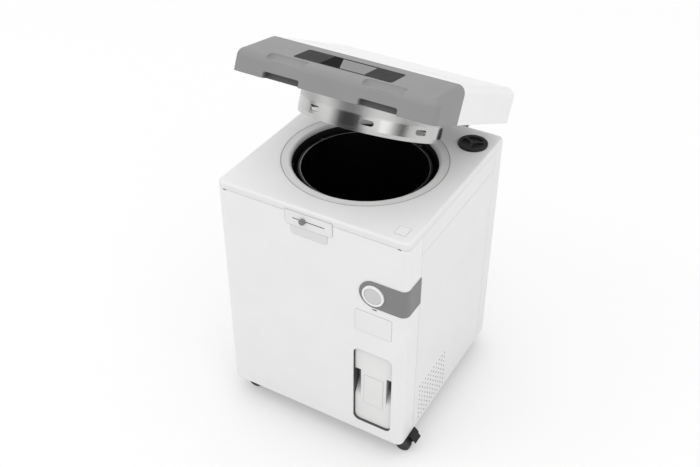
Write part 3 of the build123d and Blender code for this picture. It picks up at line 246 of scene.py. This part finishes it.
def sheet_inside_painted_shade(n):
    """Painted shade: 1 on the inner side of the side panels' sheet, which shows in seams and vent holes.
    """
    across = n.math("ABSOLUTE", n.axes(n.place())["X"])
    return n.remap(across, 1.0, 0.0, *SHEET_EDGE)


def finger_notch_painted_shade(n):
    """Painted shade: 1 deep in the two finger notches of the lid's front, and 0 on the rest of it."""
    where = n.axes(n.closed_place())
    low = n.remap(where["Z"], 1.0, 0.0, *NOTCH_TOP)
    back_in = n.remap(where["Y"], 0.0, 1.0, *NOTCH_SHADE)
    between = n.remap(n.math("ABSOLUTE", where["X"]), 1.0, 0.0, *NOTCH_SIDE)
    return n.math("MULTIPLY", n.math("MULTIPLY", low, back_in), between)


BRUSH_LINES, BRUSH_DEPTH, STEEL_EDGE = 2600.0, 0.00002, 0.0005


def steel(name, color, roughness, brushed_round=False):
    """Steel or brass with fine lines, along X or round the chamber's axis."""
    made, n = material(name)
    where = n.place()
    if brushed_round:
        parts = n.axes(where)
        flat = n.add("CombineXYZ", {"X": parts["X"], "Y": parts["Y"]})
        lines_at = n.add(
            "CombineXYZ",
            {
                "X": n.math("MULTIPLY", n.math("ARCTAN2", parts["Y"], parts["X"]), 0.004),
                "Y": n.add("VectorMath", {0: flat.outputs[0]}, operation="LENGTH").outputs["Value"],
                "Z": parts["Z"],
            },
        ).outputs[0]
    else:
        lines_at = n.add("Mapping", {"Vector": where, "Scale": (0.02, 1.0, 1.0)}).outputs[0]
    lines = n.noise(lines_at, BRUSH_LINES, 2.0, 0.6)
    dark, light = shades(color, 0.06)
    shader = n.add(
        "BsdfPrincipled",
        {
            "Base Color": n.tones(n.remap(n.noise(where, 14.0, 3.0), 0.0, 1.0, 0.3, 0.7), dark, light),
            "Metallic": 1.0,
            "Roughness": n.remap(lines, roughness - 0.05, roughness + 0.07, 0.3, 0.7),
            "Normal": n.bump(lines, 0.5, BRUSH_DEPTH, STEEL_EDGE),
        },
    )
    finish(n, shader)
    return made


# Materials: colour, roughness, grain scale and depth, how far the colour spreads, and the eased edge
white_enamel = coated("white_enamel", (0.80, 0.80, 0.80), 0.42, 700.0, 0.00004, 0.012, 0.0008)
cover_enamel = coated("cover_enamel", (0.755, 0.755, 0.755), 0.42, 700.0, 0.00004, 0.012, 0.0008)
bay_plastic = coated("bay_plastic", (0.09, 0.09, 0.09), 0.5, 900.0, 0.00004, 0.05)
side_enamel = coated("side_enamel", (0.78, 0.78, 0.785), 0.45, 700.0, 0.00004, 0.012, 0.0006)
panel_enamel = coated("panel_enamel", (0.78, 0.78, 0.785), 0.45, 700.0, 0.00004, 0.012)
black_enamel = coated("black_enamel", (0.012, 0.012, 0.012), 0.5, 600.0, 0.00005, 0.1)
white_plastic = coated("white_plastic", (0.82, 0.82, 0.82), 0.38, 1600.0, 0.00002, 0.01, 0.0008)
tank_plastic = coated("tank_plastic", (0.76, 0.76, 0.755), 0.5, 1800.0, 0.00003, 0.02, 0.0008)
collar_plastic = coated("collar_plastic", (0.70, 0.70, 0.695), 0.4, 1500.0, 0.00002, 0.015, 0.0006)
button_plastic = coated("button_plastic", (0.59, 0.59, 0.59), 0.42, 330.0, 0.0005, 0.03, 0.0005)
lid_grey = coated("lid_grey", (0.262, 0.262, 0.264), 0.5, 1700.0, 0.00004, 0.02, 0.0008, specular=0.3)
band_grey = coated("band_grey", (0.200, 0.200, 0.202), 0.5, 1700.0, 0.00003, 0.02, 0.0006)
knob_grey = coated("knob_grey", (0.185, 0.185, 0.187), 0.45, 1900.0, 0.00003, 0.02, 0.0006)
black_plastic = coated(
    "black_plastic", (0.014, 0.014, 0.015), 0.45, 1500.0, 0.00005, 0.15, 0.0006, specular=0.3
)
tread = coated("tread", (0.05, 0.05, 0.05), 0.7, 900.0, 0.00012, 0.15, 0.0005)
# A dark grey for the pads under the top cover's corners: painted shade of the gap there
gap_pad_painted_shade = coated("gap_pad_painted_shade", (0.13, 0.13, 0.13), 0.7, 900.0, 0.00005, 0.1, 0.0003)
# Near black for the sheet behind the side vents: painted shade of the cabinet's inside
vent_sheet_painted_shade = coated("vent_sheet_painted_shade", (0.02, 0.02, 0.02), 0.9, 1200.0, 0.0003, 0.3)
silicone = coated("silicone", (0.30, 0.30, 0.29), 0.55, 800.0, 0.00003, 0.06)
wool = coated("wool", (0.55, 0.52, 0.42), 0.95, 500.0, 0.0006, 0.2)
label_foil = coated("label_foil", (0.78, 0.78, 0.78), 0.3, 1300.0, 0.00001, 0.01, 0.0002)
striker_foil = coated("striker_foil", (0.69, 0.69, 0.69), 0.35, 1300.0, 0.00001, 0.01, 0.0002)
keypad_film = coated("keypad_film", (0.036, 0.036, 0.037), 0.45, 1400.0, 0.00003, 0.05, 0.0004, ior=1.12)
brass = steel("brass", (0.62, 0.44, 0.17), 0.32)
bright_steel = steel("bright_steel", (0.72, 0.72, 0.71), 0.22)
dark_steel = steel("dark_steel", (0.30, 0.30, 0.31), 0.4)
# The chamber's steel is near black: painted shade for the chamber's unlit inside
chamber_steel_in_painted_shade = steel("chamber_steel_in_painted_shade", (0.035, 0.035, 0.037), 0.42, brushed_round=True)

# Painted shadow lines along the borders of the raised flat fields: the axes they lie along, their
# centres and half sizes
FRONT_PLATE = ("X", "Z"), (0.204, 0.5045), (0.0585, 0.0385)
TOP_PLATE = ("X", "Y"), (0.260, -0.263), (0.017, 0.019)
STRIKER = ("X", "Z"), (0.0, 0.743), (0.0585, 0.015)
TONGUE = ("X", "Z"), (0.0, 0.782), (0.0755, 0.024)
TANK_FIELD = ("X", "Z"), (0.204, 0.230), (0.0325, 0.0585)
for made, field, width, grey in (
    (label_foil, FRONT_PLATE, 0.0009, 0.46),
    (label_foil, TOP_PLATE, 0.0009, 0.46),
    (striker_foil, STRIKER, 0.0010, 0.50),
    (cover_enamel, TONGUE, 0.0012, 0.52),
):
    painted_border_shadow_line(made, field, width, grey)

# Painted shade in the collar's groove and a painted highlight on the chamber's rim
GROOVE_RADIUS, RIM_RADIUS, RIM_FROM = 0.2452, 0.1895, 0.7925
painted_ring_shade_and_highlight(collar_plastic, GROOVE_RADIUS, 0.0026, 0.26)
painted_ring_shade_and_highlight(chamber_steel_in_painted_shade, RIM_RADIUS, 0.0014, 0.55, above=RIM_FROM)

# Painted shade in the recesses, and inside the seams and vent holes of the side panels; a painted shadow
# line round the tank's label field
POCKET_SKIN, POCKET_Z, POCKET_HALF, POCKET_BACK = 0.0004, 0.251, 0.056, -0.262
POCKET_SHADE = -0.3015, -0.2800
SHEET_EDGE = 0.3042, 0.3047
NOTCH_TOP, NOTCH_SHADE, NOTCH_SIDE = (0.8495, 0.8515), (-0.2912, -0.2760), (0.2020, 0.2030)
overlay(tank_plastic, (0.16, 0.16, 0.16), tank_pocket_painted_shade)
painted_border_shadow_line(tank_plastic, TANK_FIELD, 0.0011, 0.50)
overlay(panel_enamel, (0.06, 0.06, 0.06), sheet_inside_painted_shade)
overlay(lid_grey, (0.10, 0.10, 0.10), finger_notch_painted_shade)

CORNERS = [f"{end}_{hand}" for end in ("front", "rear") for hand in ("left", "right")]
made_of = {
    white_enamel: ["front_panel", "lid_base"],
    cover_enamel: ["top_cover"],
    bay_plastic: ["tank_bay"],
    side_enamel: ["rear_panel"],
    panel_enamel: ["right_side_panel", "left_side_panel", "side_rails"],
    black_enamel: ["base_frame", "head_plate", "hinge_bracket", "control_box"],
    white_plastic: ["lid_rear_cover", "button_bezel", "water_reservoir"],
    tank_plastic: ["waste_tank"],
    collar_plastic: ["collar_ring"],
    button_plastic: ["start_button"],
    lid_grey: ["lid_front_cover"],
    band_grey: ["corner_band"],
    knob_grey: ["latch_knob"],
    black_plastic: ["filler_cap", "cable_gland", "brake_pedal_left", "brake_pedal_right"]
    + [f"caster_fork_{corner}" for corner in CORNERS],
    tread: [f"caster_wheels_{corner}" for corner in CORNERS],
    silicone: ["lid_gasket"],
    wool: ["insulation_jacket"],
    label_foil: ["label_plates"],
    striker_foil: ["striker_plate"],
    keypad_film: ["keypad_panel"],
    brass: ["drain_valve", "safety_valve"],
    bright_steel: ["drain_pipe", "chamber_grid", "hinge_pin"]
    + ["hinge_springs", "caster_plates", "pressure_lid"],
    dark_steel: ["cam_ring", "band_heater"] + [f"lock_pin_{index}" for index in range(1, 9)],
    chamber_steel_in_painted_shade: ["pressure_vessel"],
}

# The lock ring: drawn steel, polished below and satin under the lid
SATIN_FROM, SATIN_TO = 0.7905, 0.7975
ring_steel, n = material("ring_steel")
where = n.closed_place()
parts = n.axes(where)
turn_lines = n.math("MULTIPLY", n.math("ARCTAN2", parts["Y"], parts["X"]), 0.2)
drawn = n.add("CombineXYZ", {"X": turn_lines, "Z": n.math("MULTIPLY", parts["Z"], 0.004)})
lines = n.noise(drawn.outputs[0], 2400.0, 2.0, 0.6)
satin = n.remap(parts["Z"], 0.0, 0.2, SATIN_FROM, SATIN_TO)
cloud = n.remap(n.noise(where, 14.0, 3.0), 0.0, 1.0, 0.3, 0.7)
shader = n.add(
    "BsdfPrincipled",
    {
        "Base Color": n.tones(cloud, (0.53, 0.53, 0.525), (0.60, 0.60, 0.595)),
        "Metallic": 1.0,
        "Roughness": n.math("ADD", n.remap(lines, 0.15, 0.21, 0.3, 0.7), satin),
        "Normal": n.bump(lines, 0.3, 0.00001, 0.0005),
    },
)
finish(n, shader)
made_of[ring_steel] = ["lid_lock_ring"]

# The screen: black glass with a painted sheen, a pale field inside a black margin, with a dark part left
# of its slanted edge
SCREEN_Y, SCREEN_SLOPE = -0.20494, cos(radians(15.5))
FIELD_X, FIELD_SLANT, FIELD_HALF = -0.0225, 0.407, 0.0370
EDGE_SOFT = 0.0004
screen, n = material("screen")
flat = n.axes(n.closed_place())
along = n.math("DIVIDE", n.math("SUBTRACT", flat["Y"], SCREEN_Y), SCREEN_SLOPE)
from_edge = n.math("ADD", flat["X"], n.math("MULTIPLY_ADD", along, FIELD_SLANT, -FIELD_X))
right_of_edge = n.remap(from_edge, 0.0, 1.0, -EDGE_SOFT, EDGE_SOFT)
inside = n.remap(n.math("ABSOLUTE", along), 1.0, 0.0, FIELD_HALF - EDGE_SOFT, FIELD_HALF)
field = n.math("MULTIPLY", right_of_edge, inside)
cells = n.remap(n.noise(n.place(), 900.0, 1.0), 0.97, 1.0, 0.3, 0.7)
shader = n.add(
    "BsdfPrincipled",
    {
        "Base Color": n.tones(
            n.math("MULTIPLY", field, cells), (0.004, 0.004, 0.005), (0.255, 0.256, 0.258)
        ),
        "Roughness": 0.2,
        "IOR": 1.04,
        "Normal": n.bump(n.noise(n.place(), 60.0), 0.05, 0.0001),
    },
)
finish(n, shader)
made_of[screen] = ["display_screen"]

lens, n = material("lens")
shader = n.add(
    "BsdfPrincipled",
    {
        "Base Color": n.tones(n.noise(n.place(), 500.0), (0.02, 0.02, 0.02), (0.03, 0.03, 0.03)),
        "Roughness": 0.15,
        "Coat Weight": 1.0,
    },
)
finish(n, shader)
made_of[lens] = ["indicator_lens"]

for finish_of, names in made_of.items():
    for name in names:
        mesh = nodes[name].data
        mesh.materials.clear()
        mesh.materials.append(finish_of)


def piece(name, mesh, body, finish_of):
    """Link a new mesh as a piece that rides on a body."""
    made = bpy.data.objects.new(name, mesh)
    scene.collection.objects.link(made)
    mesh.materials.append(finish_of)
    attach(made, body)
    return made


def lid_prism(profile, x_from, x_to, rounding=0.0):
    """A prism across the closed lid, from its side profile in Y and Z.

    The edges at the profile's second point may be rounded.
    """
    form = bmesh.new()
    ends = [[form.verts.new((x, y, z)) for y, z in profile] for x in (x_from, x_to)]
    form.faces.new(ends[0])
    form.faces.new(reversed(ends[1]))
    count = len(profile)
    for index in range(count):
        after = (index + 1) % count
        form.faces.new((ends[0][index], ends[1][index], ends[1][after], ends[0][after]))
    bmesh.ops.recalc_face_normals(form, faces=form.faces)
    if rounding:
        inner = {end[1] for end in ends}
        chosen = [edge for edge in form.edges if inner & set(edge.verts)]
        bmesh.ops.bevel(form, geom=chosen, offset=rounding, segments=6, affect="EDGES", profile=0.5)
    mesh = bpy.data.meshes.new("lid_prism")
    form.to_mesh(mesh)
    form.free()
    made = bpy.data.objects.new("lid_prism", mesh)
    scene.collection.objects.link(made)
    return made


def cut(target, tools, operation):
    """Join the tools to the target or cut them from it, and apply that."""
    for tool in tools:
        step = target.modifiers.new("cut", "BOOLEAN")
        step.operation = operation
        step.solver = "EXACT"
        step.object = tool
        graph = bpy.context.evaluated_depsgraph_get()
        result = bpy.data.meshes.new_from_object(target.evaluated_get(graph))
        target.modifiers.clear()
        target.data = result
        bpy.data.objects.remove(tool)


# The lid's front cover with its two thumb scoops cut to their full depth
SCOOP_INNER, SCOOP_OUTER, SCOOP_BACKING, SCOOP_ROUNDING = 0.086, 0.204, 0.004, 0.011
SHARP_FROM = radians(28)
SCOOP_CUT = ((-0.2550, 0.9120), (-0.2570, 0.8865), (-0.3000, 0.8742), (-0.3000, 0.9120))
SCOOP_SHELL = (
    (-0.2907, 0.8560), (-0.2907, 0.8688), (-0.2886, 0.8780), (-0.2830, 0.8855),
    (-0.2740, 0.8906), (-0.2480, 0.8979), (-0.2480, 0.8740), (-0.2840, 0.8560),
)
WELD = 0.000002
cover_form = bmesh.new()
cover_form.from_mesh(nodes["lid_front_cover"].data)
cover_form.transform(lid_turn.inverted())
bmesh.ops.remove_doubles(cover_form, verts=cover_form.verts, dist=WELD)
cover_mesh = bpy.data.meshes.new("lid_front_shell")
cover_form.to_mesh(cover_mesh)
cover_form.free()
shell = piece("lid_front_shell", cover_mesh, "lid", lid_grey)
backings, scoops = [], []
for side in (-1.0, 1.0):
    low, high = sorted((side * SCOOP_INNER, side * SCOOP_OUTER))
    backings.append(lid_prism(SCOOP_SHELL, low - SCOOP_BACKING, high + SCOOP_BACKING))
    scoops.append(lid_prism(SCOOP_CUT, low, high, SCOOP_ROUNDING))
cut(shell, backings, "UNION")
cut(shell, scoops, "DIFFERENCE")
smoothed = bmesh.new()
smoothed.from_mesh(shell.data)
bmesh.ops.transform(smoothed, matrix=lid_turn, verts=smoothed.verts)
for face in smoothed.faces:
    face.smooth = True
for edge in smoothed.edges:
    edge.smooth = len(edge.link_faces) == 2 and edge.calc_face_angle(0.0) < SHARP_FROM
smoothed.to_mesh(shell.data)
smoothed.free()
shell.data.materials.clear()
shell.data.materials.append(lid_grey)
weigh = shell.modifiers.new("weigh", "WEIGHTED_NORMAL")
weigh.keep_sharp = True
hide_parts("lid_front_cover")

# Dark pads just showing under the top cover's front corners: dark pieces that stand in for the shadow in
# the gap between cover and panel
PAD_X, PAD_Y, PAD_Z = 0.277, -0.3112, 0.7968
PAD_SIZE, PAD_EASE = (0.011, 0.0026, 0.0026), 0.0008
for hand, side in (("left", -1), ("right", 1)):
    pad = bmesh.new()
    bmesh.ops.create_cube(pad, size=1.0)
    bmesh.ops.scale(pad, vec=PAD_SIZE, verts=pad.verts)
    bmesh.ops.translate(pad, vec=(side * PAD_X, PAD_Y, PAD_Z), verts=pad.verts)
    bmesh.ops.bevel(
        pad, geom=list(pad.edges), offset=PAD_EASE, segments=3, affect="EDGES", profile=0.5
    )
    pad_mesh = bpy.data.meshes.new(f"cover_pad_{hand}")
    pad.to_mesh(pad_mesh)
    pad.free()
    piece(f"cover_pad_{hand}", pad_mesh, "cabinet", gap_pad_painted_shade)

# A black sheet behind the side vents: a dark piece that stands in for the shade inside the cabinet seen
# through them
SHADE_SHEET_SIZE, SHADE_SHEET_CENTRE, SHADE_SHEET_THICK = (0.200, 0.164, 1.0), (0.3014, -0.1095, 0.144), 0.0012
shade_sheet_form = bmesh.new()
bmesh.ops.create_grid(shade_sheet_form, x_segments=24, y_segments=20, size=0.5)
bmesh.ops.scale(shade_sheet_form, vec=SHADE_SHEET_SIZE, verts=shade_sheet_form.verts)
bmesh.ops.solidify(shade_sheet_form, geom=list(shade_sheet_form.faces), thickness=SHADE_SHEET_THICK)
upright = Matrix.Rotation(radians(90), 4, "Y") @ Matrix.Rotation(radians(90), 4, "Z")
shade_sheet_form.transform(Matrix.Translation(SHADE_SHEET_CENTRE) @ upright)
shade_sheet_mesh = bpy.data.meshes.new("vent_shade_sheet")
shade_sheet_form.to_mesh(shade_sheet_mesh)
shade_sheet_form.free()
piece("vent_shade_sheet", shade_sheet_mesh, "cabinet", vent_sheet_painted_shade)

# Helical torsion springs round the hinge pin, each with a straight leg that starts it
SPRING_WIRE, SPRING_PITCH, SPRING_TURNS, SPRING_INNER = 0.0078, 0.0080, 9, 0.034
TURN_STEPS = 28
spring_low, spring_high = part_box("hinge_springs")
SPRING_RADIUS = (spring_high[2] - spring_low[2]) / 2 - SPRING_WIRE / 2
springs = []
for hand, side in (("left", -1.0), ("right", 1.0)):
    path = [Vector((side * SPRING_INNER, spring_low[1], PIVOT.z - SPRING_RADIUS))]
    for step in range(TURN_STEPS * SPRING_TURNS + 1):
        turns = step / TURN_STEPS
        angle = 2 * pi * turns - pi / 2
        across = side * (SPRING_INNER + SPRING_PITCH * turns)
        up, out = PIVOT.z + SPRING_RADIUS * sin(angle), PIVOT.y + SPRING_RADIUS * cos(angle)
        path.append(Vector((across, out, up)))
    wire = bpy.data.curves.new(f"spring_{hand}", "CURVE")
    wire.dimensions = "3D"
    wire.bevel_depth = SPRING_WIRE / 2
    wire.bevel_resolution = 4
    wire.use_fill_caps = True
    line = wire.splines.new("POLY")
    line.points.add(len(path) - 1)
    for point, where in zip(line.points, path):
        point.co = (*where, 1.0)
    coil = bpy.data.objects.new(f"spring_curve_{hand}", wire)
    coil_mesh = bpy.data.meshes.new_from_object(coil)
    bpy.data.objects.remove(coil)
    coil_mesh.materials.clear()
    coil_mesh.shade_smooth()
    spring = piece(f"torsion_spring_{hand}", coil_mesh, "cabinet", bright_steel)
    springs.append(spring)
for spring in springs:
    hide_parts("hinge_springs")

# Floor, backdrop and a soft sky that is brighter overhead; bright steel mirrors soft boxes in a dim room
SKY_LOW, SKY_TOP = 0.66, 1.40
ROOM = 0.05
SOFT_BOXES = ((-144.0, 22.0), (-50.0, 26.0), (50.0, 26.0), (130.0, 24.0))
ROOM_TOP, SKY_FROM = 0.45, 0.70
BOX_SOFT = 9.0
FLOOR_HALF = 14.0
FLOOR_WHITE, FLOOR_SEEN, FLOOR_LIFT = 0.80, 0.56, 0.33
floor_mesh = bpy.data.meshes.new("floor")
floor_mesh.from_pydata(
    [(FLOOR_HALF * x, FLOOR_HALF * y, 0) for x, y in ((-1, -1), (1, -1), (1, 1), (-1, 1))],
    [],
    [(0, 1, 2, 3)],
)
floor = bpy.data.objects.new("floor", floor_mesh)
scene.collection.objects.link(floor)
floor_white, n = material("floor_white")
paths = n.add("LightPath")
shade = n.remap(paths.outputs["Is Camera Ray"], FLOOR_WHITE, FLOOR_SEEN)
grey = n.add("CombineColor", {0: shade, 1: shade, 2: shade}).outputs[0]
diffuse = n.add("BsdfDiffuse", {"Color": grey})
glow = n.math("MULTIPLY", paths.outputs["Is Camera Ray"], FLOOR_LIFT)
lift = n.add("Emission", {"Color": (1.0, 1.0, 1.0, 1.0), "Strength": glow})
finish(n, n.add("AddShader", {0: diffuse.outputs[0], 1: lift.outputs[0]}))
floor_mesh.materials.append(floor_white)

world = bpy.data.worlds.new("world")
scene.world = world
world.use_nodes = True
world.node_tree.nodes.clear()
n = Nodes(world.node_tree)
paths = n.add("LightPath")
direction = n.axes(n.add("TexCoord").outputs["Generated"])
heading = n.math("ARCTAN2", direction["Y"], direction["X"])
mirrored = n.remap(direction["Z"], 0.0, 1.0, ROOM_TOP, SKY_FROM)
for box_heading, box_half in SOFT_BOXES:
    turned = n.math("WRAP", n.math("SUBTRACT", heading, radians(box_heading)), pi, -pi)
    ends = radians(box_half - BOX_SOFT), radians(box_half + BOX_SOFT)
    mirrored = n.math("MAXIMUM", mirrored, n.remap(n.math("ABSOLUTE", turned), 1.0, ROOM, *ends))
seen_level = n.math("MAXIMUM", paths.outputs["Is Camera Ray"], mirrored)
seen_share = n.add("Background", {"Color": (1, 1, 1, 1), "Strength": seen_level})
light_level = n.remap(direction["Z"], SKY_LOW, SKY_TOP)
light_share = n.add("Background", {"Color": (1, 1, 1, 1), "Strength": light_level})
seen = n.math("MAXIMUM", paths.outputs["Is Camera Ray"], paths.outputs["Is Glossy Ray"])
both = n.add("MixShader", {0: seen, 1: light_share.outputs[0], 2: seen_share.outputs[0]})
out = n.add("OutputWorld")
n.tree.links.new(both.outputs[0], out.inputs["Surface"])


LAMP_SIZE = 2.4
LAMP_AIM = Vector((0.0, 0.0, 0.5))


def lamp(name, place, power):
    """A square lamp that faces the middle of the cabinet."""
    data = bpy.data.lights.new(name, "AREA")
    data.shape = "SQUARE"
    data.size = LAMP_SIZE
    data.energy = power
    made = bpy.data.objects.new(name, data)
    scene.collection.objects.link(made)
    made.location = place
    made.rotation_euler = (LAMP_AIM - Vector(place)).to_track_quat("-Z", "Y").to_euler()


lamp("key", (-2.6, -2.4, 3.6), 14.0)
lamp("fill", (3.0, -1.8, 2.6), 10.0)
